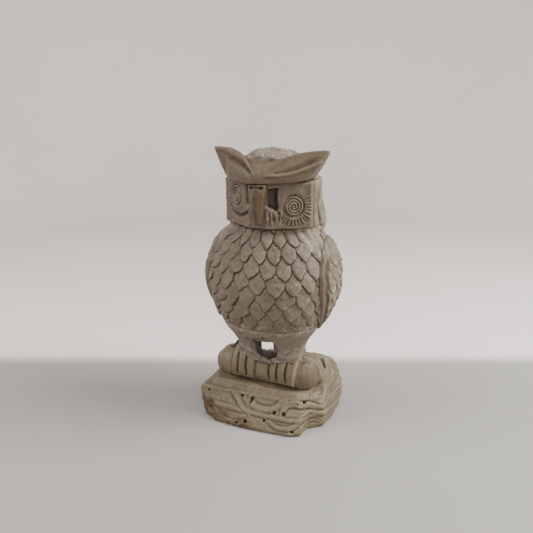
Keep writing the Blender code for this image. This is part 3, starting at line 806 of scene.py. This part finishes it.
LEFT_TUFT_GROOVE = [(6.7, -17.1, 112.2), (9.6, -15.3, 112.5), (13.4, -12.4, 113.7),
                    (17.3, -8.8, 115.6), (21.7, -6.3, 117.4)]
LEFT_TUFT_RIDGE = [(3.7, -18.9, 111.1), (8.7, -16.0, 111.6), (13.6, -12.8, 112.6),
                   (18.3, -9.2, 114.3), (22.3, -6.8, 115.8)]
RIGHT_TUFT_GROOVE = [(-1.5, -20.2, 111.9), (-4.5, -17.6, 113.7), (-8.2, -14.4, 115.3),
                     (-12.8, -11.5, 116.4), (-18.9, -7.6, 117.5), (-23.0, -5.9, 118.4)]
RIGHT_TUFT_RIDGE = [(-1.1, -20.3, 112.0), (-6.2, -17.6, 112.5), (-12.7, -13.4, 114.0),
                    (-18.4, -9.4, 115.3), (-22.5, -7.0, 116.9)]


def make_brow():
    """The polished brow: two tufts, each with one long groove over a ridge, and the smooth facet
    between them."""
    blank = Blank(["left_brow_tuft", "right_brow_tuft", "forehead"], 0.26, "brow")
    blank.soften(8)
    p = blank.p
    bottom = box("forehead")[0][2]
    groove = np.maximum(stroke(p, LEFT_TUFT_GROOVE, 1.15, 0.55), stroke(p, RIGHT_TUFT_GROOVE, 0.95, 0.5))
    ridge = np.maximum(stroke(p, LEFT_TUFT_RIDGE, 0.8, 0.4), 0.7 * stroke(p, RIGHT_TUFT_RIDGE, 0.7, 0.4))
    waves = 0.16 * grains(p * (0.5, 0.5, 1), 4.0, 201) + 0.03 * grain(p, 1.0, 204)
    blank.push(0.12 + 0.65 * ridge - 1.2 * groove + waves)
    under = fade(p[:, 2], bottom + 2.6, bottom + 0.6)
    facet = fade(np.abs(p[:, 0] - OWL_X), 8.0, 4.0) * fade(p[:, 2], 110.5, 112.5)
    return blank.finish(
        "polished_stone", POLISHED,
        # the ridges are lightened as a painted highlight; the underside is darkened and browned as
        # painted shade, and the grooves are darkened with painted shade over their brown
        tone=0.28 + 0.38 * ridge + 0.04 * facet - 0.15 * under + 0.1 * grain(p, 4.0, 205),
        rough=0.05, brown=0.3 * groove + 0.12 * under, soot=0.25 * fade(groove, 0.6, 1.0),
        dust=0.15 * patches(p, 1.6, 206, 0.35, 0.8) * facet, green=0.2 * facet)


def make_crown(node):
    """The rough flat dome behind the forehead, stippled all over with a point."""
    blank = Blank(node, 0.3)
    blank.soften(5)
    p, n = blank.p, blank.normals()
    on = fade(n[:, 2], 0.0, 0.35)
    lumps = 0.34 * grain(p, 2.4, 141) + 0.2 * grain(p, 1.2, 142) + 0.16 * grain(p, 5.0, 143)
    holes = np.maximum(pits(p, 2.5, 0.95, 144), 0.8 * pits(p, 1.6, 0.6, 148))
    blank.push(0.1 + on * (lumps - 0.5 * holes))
    return blank.finish(
        "rough_stone", ROUGH,
        dust=0.45 * patches(p, 2.0, 145, -0.3, 0.6), rough=0.9,
        tone=0.44 + 0.3 * grain(p, 2.0, 146), green=0.25 * patches(p, 6.0, 147, 0, 0.6))


# ---- perch
# where the plain round end of the log, on the bird's right, stops and the right toes begin
LOG_CUFF = LOG_START + 10.2
# cuts and ridges that run over the log, each a line of places
SLOT = [(1.6, -8.6, 28.2), (6.9, -7.9, 29.0), (12.0, -7.6, 28.8)]
INSTEP = [(-17.4, -4.0, 30.6), (-12.8, -5.4, 30.0), (-7.4, -7.6, 28.8), (-3.8, -6.6, 28.6)]
STRAP = [(13.9, -1.4, 31.2), (13.3, -5.2, 29.2), (12.9, -8.8, 25.0), (12.6, -9.2, 20.0),
         (12.4, -7.6, 16.2)]
RIM = [(14.9, -1.6, 29.8), (17.5, -0.7, 28.9), (19.8, 0.0, 26.8), (20.9, 1.4, 23.0),
       (20.6, 1.6, 18.6)]
RIM_GROOVE = [(14.4, -4.6, 28.2), (16.8, -2.8, 28.2), (18.6, -2.2, 25.8), (19.5, -2.0, 22.0)]


def toe_gaps():
    """Places across the log of the cuts between toes, from the toes of the frame."""
    places = []
    for side in SIDES:
        edges = sorted((box(f"{side}_toe_{k}")[0][0], box(f"{side}_toe_{k}")[1][0]) for k in (1, 2, 3))
        places += [(before[1] + after[0]) / 2 for before, after in zip(edges, edges[1:])]
    return places


def toe_cuts(p, turn, reach):
    """The dark cuts between and beside the toes."""
    x = p[:, 0]
    cuts = np.zeros(len(p))
    for at in toe_gaps():
        cuts = np.maximum(cuts, reach * bell(x - at + 0.25 * grain(p, 5.0, 211), 0.36))
    inner, outside = box("left_toe_1")[0][0], box("right_toe_3")[1][0]
    cuts = np.maximum(cuts, reach * bell(x - inner + 0.3, 0.5))
    return np.maximum(cuts, 0.35 * fade(turn, 0.7, 0.9) * bell(x - outside - 0.4, 0.3))


def make_perch():
    """The log with both feet on it. The toes are low flutes, parted by dark cuts, that run over its
    front and end in rounded tops. Under the hole between the legs the log is worn down."""
    nodes = ["perch_log", "left_foot", "right_foot"]
    nodes += [f"{side}_toe_{k}" for side in SIDES for k in (1, 2, 3)]
    blank = Blank(nodes, 0.28, "perch", swell=0.5)
    blank.soften(16)
    blank.push(-0.3)
    # angle round the log: 0 on top, a quarter turn in front
    turn = np.arctan2(LOG_Y - blank.p[:, 1], blank.p[:, 2] - LOG_Z)
    blank.soften(60, fade(turn, 1.7, 1.9) * fade(turn, 2.5, 2.2))
    p = blank.p
    x, y, z = p.T
    radius = (box("perch_log")[1][1] - box("perch_log")[0][1]) / 2
    toes = fade(x, LOG_CUFF - 0.6, LOG_CUFF + 0.4) * fade(x, 14.4, 12.8) * fade(turn, 0.2, 0.6)
    under_full = radius + 0.5 - np.hypot(y - LOG_Y, z - LOG_Z)
    flat = np.minimum(under_full, 0.3) * 0.6 * toes * fade(turn, 3.0, 2.5)
    reach = fade(turn, 0.75, 1.0) * fade(turn, 2.15, 1.95)
    cuts = toe_cuts(p, turn, reach)
    slot = stroke(p, SLOT, 0.55, 0.3)
    edge = bell(x - LOG_CUFF + 0.35 * grain(p, 6.0, 151), 0.55) * fade(turn, 2.6, 2.3)
    arcs = np.cos((x - LOG_START + 0.05 * z) * math.tau / 2.6)
    arcs *= fade(x, LOG_CUFF - 1.2, LOG_CUFF - 4.2)
    strap, rim, beside = stroke(p, STRAP, 0.7), stroke(p, RIM, 0.8), stroke(p, RIM_GROOVE, 0.5)
    taper = fade(x, LOG_CUFF + 3.3, LOG_CUFF - 1.7) * fade(turn, 1.6, 0.3)
    raised = 0.1 * arcs + 0.4 * stroke(p, INSTEP, 0.9) + 0.65 * strap + 0.6 * rim
    sunk = 0.8 * cuts + 0.9 * slot + 0.9 * edge + 0.45 * beside + 1.3 * taper
    tooth = 0.2 * grains(p, 4.0, 152) + 0.05 * grain(p, 1.1, 154)
    blank.push(0.05 + raised - sunk + tooth + flat)
    low_top = 0.9 * fade(turn, 0.95, 0.6) * fade(np.abs(x + 6.5), 8.5, 6.0)
    blank.p[:, 2] -= low_top * np.maximum(blank.p[:, 2] - LOG_Z - 5.4, 0)
    worn = fade(np.abs(x + 0.5 + 0.4 * (y + 8.0)), 4.6, 2.6)
    blank.p[:, 2] -= 3.0 * worn * fade(turn, 0.75, 0.5) * fade(z, 24.0, 27.0)

    end = fade(x, 13.6, 15.4) * (1 - rim)
    flute = reach * fade(x, LOG_CUFF + 0.2, LOG_CUFF + 1.2) * fade(x, 12.8, 12.0)
    return blank.finish(
        "base_stone", BASE,
        tone=0.56 + 0.12 * fade(x, LOG_CUFF + 3.8, LOG_CUFF - 2.2) + 0.12 * flute
             + 0.4 * rim + 0.16 * strap - 0.12 * end + 0.12 * grain(p, 5.0, 153),
        green=0.9 * rim + 0.35 * flute, rough=0.15,
        dust=0.35 * strap + 0.25 * fade(z, 29.5, 31.5) * patches(p, 2.2, 155, -0.3, 0.5),
        brown=0.7 * np.maximum(cuts, np.maximum(edge, beside)) + 0.3 * end,
        # the cuts between the toes and the slot are darkened with painted shade
        soot=0.55 * np.maximum(fade(cuts, 0.5, 1), fade(slot, 0.4, 1)))


# ---- base rock
# the foot of the rock from above, round from the middle of the front: x and y
ROCK_OUTLINE = [(-7.0, -17.2), (-20.0, -17.5), (-29.0, -16.0), (-30.5, -0.5), (-27.8, 15.5),
                (-19.5, 24.7), (0.0, 26.2), (21.8, 25.0), (26.7, 17.0), (26.6, 5.0), (25.0, -4.0),
                (19.8, -9.0), (18.1, -14.2), (13.0, -16.3), (-7.0, -17.2)]
ROCK_SLANT = 1.22  # the front slopes: length along it over height


def round_rock(places):
    """Place on the wall of the rock: distance round it, growing towards the bird's left from the
    front, and length up the slope."""
    places = np.atleast_2d(np.array(places, dtype=float))
    _, along = off_line(places[:, :2], ROCK_OUTLINE)
    total = np.linalg.norm(np.diff(np.array(ROCK_OUTLINE), axis=0), axis=1).sum()
    return np.stack([-along * total + np.where(along > 0.5, total, 0), places[:, 2] * ROCK_SLANT], axis=1)


# raised ribs: width, height, and places (x, y, z) that each passes
RIBS = [
    (1.25, 1.0, [(10.4, -14.8, 9.3), (10.7, -13.3, 11.0), (12.7, -12.4, 11.9), (14.7, -11.7, 12.3),
        (18.6, -9.7, 11.4), (22.1, -6.3, 9.6), (24.6, -3.6, 9.0), (25.6, 0.4, 10.2),
        (24.9, 4.0, 12.6)]),
    (1.1, 0.85, [(-5.7, -13.2, 11.9), (-4.1, -14.5, 10.0), (-1.9, -15.2, 8.9), (1.6, -15.3, 8.7),
        (4.7, -14.8, 9.1), (7.2, -14.0, 10.2), (8.8, -13.1, 11.8), (10.9, -12.6, 12.9)]),
    (1.0, 0.75, [(5.4, -18.6, 4.9), (8.6, -19.3, 3.4), (13.1, -18.9, 3.5), (16.9, -17.0, 4.8),
        (18.4, -14.4, 7.2)]),
    (1.1, 0.85, [(-13.6, -13.5, 12.2), (-9.9, -15.9, 8.9), (-5.5, -17.9, 6.4)]),
    (0.9, 0.6, [(-20.6, -16.8, 9.6), (-21.4, -18.0, 6.8), (-17.0, -19.0, 4.8), (-11.8, -19.3, 4.2),
        (-6.9, -19.1, 4.9), (-4.4, -18.2, 6.0)]),
    (1.0, 0.7, [(19.3, -13.8, 7.0), (20.2, -9.0, 8.2), (23.0, -6.2, 7.4), (26.0, -2.4, 6.0)]),
    (0.9, 0.7, [(26.3, 4.0, 8.0), (26.6, 9.0, 10.5), (25.6, 16.0, 9.5), (21.5, 23.5, 6.5)]),
    (0.9, 0.7, [(-30.4, -12.0, 9.8), (-30.2, -4.0, 6.5), (-29.2, 6.0, 9.0), (-26.0, 16.5, 7.0)]),
    (0.9, 0.7, [(-19.0, 24.8, 9.5), (-9.0, 25.6, 5.5), (1.0, 26.2, 8.5), (12.0, 25.6, 5.5),
        (20.0, 25.2, 9.0)]),
]
# grooves: width, depth, places
CUTS = [
    (0.5, 0.8, [(11.6, -14.6, 8.0), (12.4, -13.6, 9.9), (15.4, -12.9, 10.6), (18.8, -10.5, 9.8),
        (22.6, -6.3, 7.9), (25.4, -3.0, 7.4)]),
    (0.45, 0.6, [(6.4, -18.3, 3.4), (9.6, -18.9, 2.0), (13.4, -18.6, 2.2), (17.2, -16.6, 3.4)]),
    (0.5, 0.7, [(-13.0, -14.2, 10.0), (-9.0, -16.7, 7.4), (-4.6, -18.0, 5.2)]),
    (0.45, 0.6, [(-4.8, -13.9, 12.3), (-2.8, -14.2, 10.6), (1.5, -14.6, 10.0), (5.4, -14.0, 10.7),
        (7.6, -13.4, 12.2)]),
    (0.4, 0.5, [(19.8, -12.6, 5.2), (21.0, -9.0, 6.4), (23.4, -6.8, 5.6), (25.6, -4.4, 3.8)]),
    (0.35, 0.4, [(20.2, -11.6, 3.6), (21.4, -8.8, 4.8), (23.8, -6.4, 4.0), (25.6, -4.4, 2.2)]),
    (0.35, 0.4, [(20.0, -12.0, 2.2), (21.4, -8.8, 3.2), (23.6, -6.6, 2.4)]),
    (0.3, 0.4, [(-17.7, -17.5, 7.7), (-16.1, -18.7, 5.4)]),
    (0.3, 0.4, [(-16.3, -16.8, 8.3), (-15.0, -18.4, 5.6)]),
    (0.3, 0.4, [(-15.0, -16.2, 8.9), (-13.9, -18.0, 5.9)]),
    (0.3, 0.4, [(-13.8, -15.6, 9.5), (-12.6, -17.2, 6.4)]),
]
# the raised scroll that climbs from the wall to the end of the log
SCROLL = [(23.0, -3.6, 9.6), (23.4, -0.4, 11.4), (22.8, 2.4, 13.4), (21.4, 4.2, 16.0), (20.2, 4.4, 19.4),
        (18.6, 3.6, 22.6)]
# the rock that closes the corner between the log's end and the bank
FILLET = [(16.0, 8.4, 21.5), (18.2, 7.6, 20.5), (19.6, 6.6, 18.6), (20.6, 4.6, 14.6), (20.4, 0.6, 12.2),
        (19.2, -3.4, 11.8)]
# drilled dots: place and radius
DOTS = [((-9.9, -13.4, 11.7), 0.75), ((-5.0, -13.8, 11.2), 1.05), ((-5.2, -13.6, 10.3), 0.9),
        ((16.3, -12.4, 12.1), 0.7), ((18.9, -9.6, 12.4), 0.9), ((6.6, -15.9, 8.3), 0.85),
        ((10.9, -15.5, 8.4), 0.95), ((2.9, -18.6, 4.9), 0.75), ((-5.5, -20.1, 3.3), 0.95),
        ((-9.4, -21.0, 1.9), 0.8), ((-23.8, -17.7, 5.1), 0.7), ((-26.6, -15.5, 11.3), 0.75),
        ((16.1, -18.6, 2.3), 0.9), ((-29.5, 2.0, 6.0), 0.9), ((26.6, 12.0, 5.0), 0.9),
        ((-6.0, 25.8, 9.0), 0.9), ((10.0, 25.9, 8.6), 0.9)]


def leaf_veins(p):
    """A midrib and slanting veins on top of the banks: height from -1 to 1."""
    x = np.abs(p[:, 0])
    rib = p[:, 1] - 15.5 + 0.1 * x
    return np.cos((x * 0.9 - np.abs(rib) * 0.85) * math.tau / 3.4) * 0.35 + 0.5 * bell(rib, 0.9)


def wall_relief(p):
    """The ribs, grooves and drilled dots round the wall of the rock."""
    q = round_rock(p)
    ribs, cuts, dots = (np.zeros(len(p)) for _ in range(3))
    for width, high, places in RIBS:
        far, along = off_line(q, curve(round_rock(places)))
        ends = 1 - 0.35 * (2 * np.abs(along - 0.5)) ** 3
        far = far + 0.35 * grain(p, 4.0, 188)
        ribs = np.maximum(ribs, 0.38 * high * fade(far, width * 1.5, width * 0.4) * ends)
        cuts = np.maximum(cuts, 0.45 * high * bell(far - width * 1.6, 0.38) * ends)
    for width, deep, places in CUTS:
        cuts = np.maximum(cuts, 0.8 * deep * stroke(q, round_rock(places), width, 0.35))
    for place, radius in DOTS:
        far = np.linalg.norm(q - round_rock([place]), axis=1)
        dots = np.maximum(dots, fade(far, radius * 1.15, radius * 0.45))
    return ribs, cuts * (1 - fade(ribs, 0.16, 0.36)), dots


def raw_rock(p):
    """1 where the rock is left rough: low in front on the bird's right, and round that corner."""
    x, y, z = p.T
    raw = fade(x + 1.2 * z, 6.0, -6.0) * fade(z + 0.12 * x, 5.4, 2.8) * fade(y, -8.0, -14.0)
    raw = np.maximum(raw, fade(x, -20.0, -24.0) * fade(z, 9.8, 7.6) * fade(y, -6, -12))
    return np.clip(raw * (1.0 + 0.8 * grain(p, 4.0, 181)), 0, 1)


def make_base():
    """The rock, the ledge under the log and the banks beside the tail, all one: scrolls, a leaf and
    drilled dots in low relief on its walls, left rough at one low corner."""
    beads = [(place, 1.9) for place in curve(SCROLL, 5)] + [(place, 2.7) for place in curve(FILLET, 5)]
    blank = Blank(["base_rock", "log_ledge", "left_bank", "right_bank"], 0.31, "base", beads=beads)
    blank.soften(14)
    p, n = blank.p, blank.normals()
    y, z = p[:, 1], p[:, 2]
    ledge_bottom, ledge_top = box("log_ledge")[0][2], box("log_ledge")[1][2]
    bank = fade(y, 7.0, 10.0) * fade(z, ledge_top - 1.0, ledge_top + 1.0)
    ledge = fade(z, ledge_bottom - 0.4, ledge_bottom + 0.6) * (1 - bank)
    wall = fade(n[:, 2], 0.95, 0.8) * fade(n[:, 2], -0.7, -0.4) * (1 - ledge) * (1 - bank)
    ribs, cuts, dots = wall_relief(p)
    raw = raw_rock(p)
    smooth = 0.3 * grains(p, 5.0, 182) + 0.08 * grain(p, 1.5, 189)
    chips = 0.9 * grains(p, 3.2, 183) + 0.3 * grain(p, 1.3, 184)
    drag = 0.22 * grains(p * (0.35, 1, 1), 2.6, 171) * ledge
    veins = leaf_veins(p) * bank
    blank.push(wall * ((ribs - 0.85 * cuts) * (1 - raw) - 1.5 * dots) + smooth * (1 - raw)
               + chips * raw + drag + veins)
    blank.p[:, 2] = np.maximum(blank.p[:, 2], 0)

    front = fade(y, -4, -12)
    mossy = 0.4 * front + 0.35 * patches(p, 7.0, 186, -0.3, 0.6)
    return blank.finish(
        "base_stone", BASE,
        tone=0.6 + 0.7 * ribs - 0.4 * raw - 0.06 * ledge + 0.12 * grain(p, 5.0, 185) + 0.12 * veins,
        green=mossy * (1 - ledge) + 0.7 * bank,
        rough=0.2 + 0.7 * raw + 0.15 * ledge + 0.3 * bank,
        dust=0.22 * patches(p, 2.6, 187, 0.1, 0.8) * (1 - front)
             + 0.3 * bank * patches(p, 2.2, 192, -0.1, 0.7),
        brown=np.clip(1.1 * raw + 0.6 * wall * cuts, 0, 1),
        # the drilled dots are darkened with painted shade
        soot=0.5 * fade(dots, 0.3, 0.8) * wall)


# ---- the owl
make_breast()
make_back("back")
make_legs()
make_tail("tail")
make_head()
make_beak("beak")
make_brow()
make_crown("crown")
make_perch()
make_base()
for name, side in SIDES.items():
    make_wing(name + "_wing", side)


# ---- studio
VIEW_AZIMUTH, VIEW_ELEVATION, VIEW_DISTANCE = math.radians(24), math.radians(17), 0.250
SENSOR_WIDTH, FOCAL_LENGTH = 36, 38.97
ACROSS = Vector((math.cos(VIEW_AZIMUTH), math.sin(VIEW_AZIMUTH), 0))
AWAY = Vector((-math.sin(VIEW_AZIMUTH), math.cos(VIEW_AZIMUTH), 0))
TARGET = Vector((0, 0, 0.0695)) - ACROSS * 0.0037
# metres away from, across and above the middle of the bird's foot; side, watts, colour
LAMPS = {
    "right_lamp": (-0.06, 0.33, 0.34, 0.22, 3.5, (1.0, 0.985, 0.96)),
    "left_lamp": (-0.06, -0.34, 0.34, 0.24, 1.5, (1.0, 0.975, 0.965)),
    "front_lamp": (-0.44, 0.06, 0.26, 0.24, 0.9, (1.0, 0.98, 0.96)),
}
LAMP_AIM = Vector((0, 0, 0.05))
PAPER_FLAT, PAPER_BEND, PAPER_HIGH = 0.42, 0.16, 0.75  # radius that lies flat, of the curve, height
PAPER_SIDES, BEND_STEPS = 96, 12


def make_camera():
    """The camera, a little above the bird and to its left."""
    lens = bpy.data.cameras.new("camera")
    lens.sensor_width, lens.lens, lens.clip_start = SENSOR_WIDTH, FOCAL_LENGTH, 0.01
    camera = placed("camera", lens)
    back = -AWAY * math.cos(VIEW_ELEVATION) + Vector((0, 0, math.sin(VIEW_ELEVATION)))
    camera.location = TARGET + back * VIEW_DISTANCE
    camera.rotation_euler = (-back).to_track_quat("-Z", "Y").to_euler()
    bpy.context.scene.camera = camera


def make_light(name, away, across, high, size, power, colour):
    """A soft square lamp aimed at the bird."""
    lamp = bpy.data.lights.new(name, "AREA")
    lamp.size, lamp.energy, lamp.color = size, power, colour
    lit = placed(name, lamp)
    lit.location = AWAY * away + ACROSS * across + Vector((0, 0, high))
    lit.rotation_euler = (LAMP_AIM - lit.location).to_track_quat("-Z", "Y").to_euler()


def paper_material():
    """Grey in the shade of the room near the bird, and near white beyond."""
    made, tree, shader, place = new_material("paper")
    depth = node_of(tree, "ShaderNodeVectorMath", [(0, place), (1, tuple(AWAY))],
                    operation="DOT_PRODUCT").outputs["Value"]
    soft = noise(tree, place, 9, 3)
    depth = plus(tree, depth, times(tree, soft, 0.004))
    far = node_of(tree, "ShaderNodeMapRange",
                  [("Value", depth), ("From Min", 0.046), ("From Max", 0.062)],
                  interpolation_type="SMOOTHSTEP").outputs[0]
    near = mixed(tree, soft, (0.335, 0.322, 0.302, 1), (0.375, 0.364, 0.345, 1))
    beyond = mixed(tree, soft, (0.79, 0.735, 0.715, 1), (0.86, 0.82, 0.80, 1))
    tree.links.new(mixed(tree, far, near, beyond), shader.inputs["Base Color"])
    dull = spread(tree, noise(tree, place, 60), 0.3, 0.7, 0.75, 0.9)
    tree.links.new(dull, shader.inputs["Roughness"])
    return made


def make_paper():
    """A pale sheet that lies flat under the bird and rises in a wide curve all round."""
    rings = [(0.1, 0.0), (PAPER_FLAT / 2, 0.0), (PAPER_FLAT, 0.0)]
    for k in range(1, BEND_STEPS + 1):
        turn = math.pi / 2 * k / BEND_STEPS
        rings.append((PAPER_FLAT + PAPER_BEND * math.sin(turn), PAPER_BEND * (1 - math.cos(turn))))
    rings.append((PAPER_FLAT + PAPER_BEND, PAPER_HIGH))
    corners = [math.tau * k / PAPER_SIDES for k in range(PAPER_SIDES)]
    points = [(r * math.cos(turn), r * math.sin(turn), z) for r, z in rings for turn in corners]
    points.append((0, 0, 0))
    faces = [(len(points) - 1, k, (k + 1) % PAPER_SIDES) for k in range(PAPER_SIDES)]
    for ring, k in itertools.product(range(len(rings) - 1), range(PAPER_SIDES)):
        a, b = ring * PAPER_SIDES + k, ring * PAPER_SIDES + (k + 1) % PAPER_SIDES
        faces.append((a, a + PAPER_SIDES, b + PAPER_SIDES, b))
    mesh = bpy.data.meshes.new("paper")
    mesh.from_pydata(points, [], faces)
    mesh.polygons.foreach_set("use_smooth", [True] * len(mesh.polygons))
    mesh.materials.append(paper_material())
    paper = placed("paper", mesh)


def make_world():
    """The even light of the room."""
    world = bpy.data.worlds.new("room")
    bpy.context.scene.world = world
    world.use_nodes = True
    sky = world.node_tree.nodes["Background"]
    sky.inputs["Color"].default_value = (1.0, 0.985, 0.97, 1)
    sky.inputs["Strength"].default_value = 0.37


make_camera()
make_paper()
make_world()
for name, lamp in LAMPS.items():
    make_light(name, *lamp)
